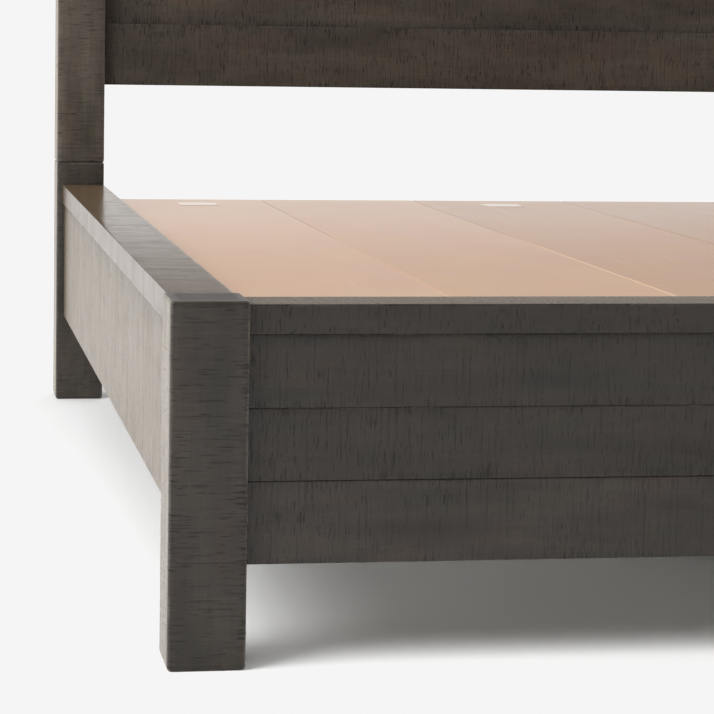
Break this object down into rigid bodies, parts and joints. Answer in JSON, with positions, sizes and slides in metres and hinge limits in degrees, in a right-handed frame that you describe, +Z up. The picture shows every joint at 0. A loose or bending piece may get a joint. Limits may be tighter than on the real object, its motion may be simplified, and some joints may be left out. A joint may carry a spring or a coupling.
{
  "type": "bed frame",
  "caption": "Wooden bed frame with planked headboard and footboard between square posts, capped side rails and a flat slat-borne deck for a mattress.",
  "frame": {"origin": "on the floor, under the middle of the bed frame", "axes": "+Y towards the headboard, +X to the right as seen from the foot end, +Z up"},
  "size_m": [1.724, 2.232, 1.22],
  "materials": {
    "stained_wood": "charcoal stain under satin lacquer, rough-sawn",
    "deck_plywood": "tan veneer, sanded smooth",
    "loop_patch": "pale looped textile",
    "inner_poplar": "planed, unfinished",
    "black_hardwood": "black stain, matt",
    "bracket_steel": "black coated steel",
    "zinc_steel": "bright zinc plated",
    "black_nylon": "moulded, matt"
  },
  "bodies": {
    "frame": {"back_leg_left": "stained_wood", "back_leg_right": "stained_wood", "beam_seat_foot": "inner_poplar", "beam_seat_head": "inner_poplar", "bolt_back_left_lower": "zinc_steel", "bolt_back_left_upper": "zinc_steel", "bolt_back_right_lower": "zinc_steel", "bolt_back_right_upper": "zinc_steel", "bolt_front_left_lower": "zinc_steel", "bolt_front_left_upper": "zinc_steel", "bolt_front_right_lower": "zinc_steel", "bolt_front_right_upper": "zinc_steel", "centre_beam": "inner_poplar", "centre_leg_foot": "black_hardwood", "centre_leg_head": "black_hardwood", "corner_bracket_back_left": "bracket_steel", "corner_bracket_back_right": "bracket_steel", "corner_bracket_front_left": "bracket_steel", "corner_bracket_front_right": "bracket_steel", "cross_slat_1": "inner_poplar", "cross_slat_2": "inner_poplar", "cross_slat_3": "inner_poplar", "cross_slat_4": "inner_poplar", "cross_slat_5": "inner_poplar", "deck_panel_1": "deck_plywood", "deck_panel_2": "deck_plywood", "deck_panel_3": "deck_plywood", "deck_panel_4": "deck_plywood", "deck_panel_5": "deck_plywood", "deck_patch_left": "loop_patch", "deck_patch_middle": "loop_patch", "deck_patch_right": "loop_patch", "footboard_backer": "inner_poplar", "footboard_cap": "stained_wood", "footboard_plank_bottom": "stained_wood", "footboard_plank_middle": "stained_wood", "footboard_plank_top": "stained_wood", "front_post_left": "stained_wood", "front_post_right": "stained_wood", "head_lower_rail": "stained_wood", "headboard_batten_left": "stained_wood", "headboard_batten_right": "stained_wood", "headboard_bottom_rail": "stained_wood", "headboard_cap": "stained_wood", "headboard_plank_1": "stained_wood", "headboard_plank_2": "stained_wood", "headboard_plank_3": "stained_wood", "headboard_plank_4": "stained_wood", "headboard_post_left": "stained_wood", "headboard_post_right": "stained_wood", "post_dowel_left": "zinc_steel", "post_dowel_right": "zinc_steel", "side_board_left": "stained_wood", "side_board_right": "stained_wood", "side_cap_left": "stained_wood", "side_cap_right": "stained_wood", "side_cleat_left": "inner_poplar", "side_cleat_right": "inner_poplar"},
    "foot_leveller": {"leveller_foot": "black_nylon"},
    "head_leveller": {"leveller_head": "black_nylon"}
  },
  "joints": [
    {"name": "foot_leveller_screw", "type": "slide", "parent": "frame", "child": "foot_leveller", "axis": [0, 0, 1], "range_m": [-0.012, 0]},
    {"name": "head_leveller_screw", "type": "slide", "parent": "frame", "child": "head_leveller", "axis": [0, 0, 1], "range_m": [-0.012, 0]}
  ]
}
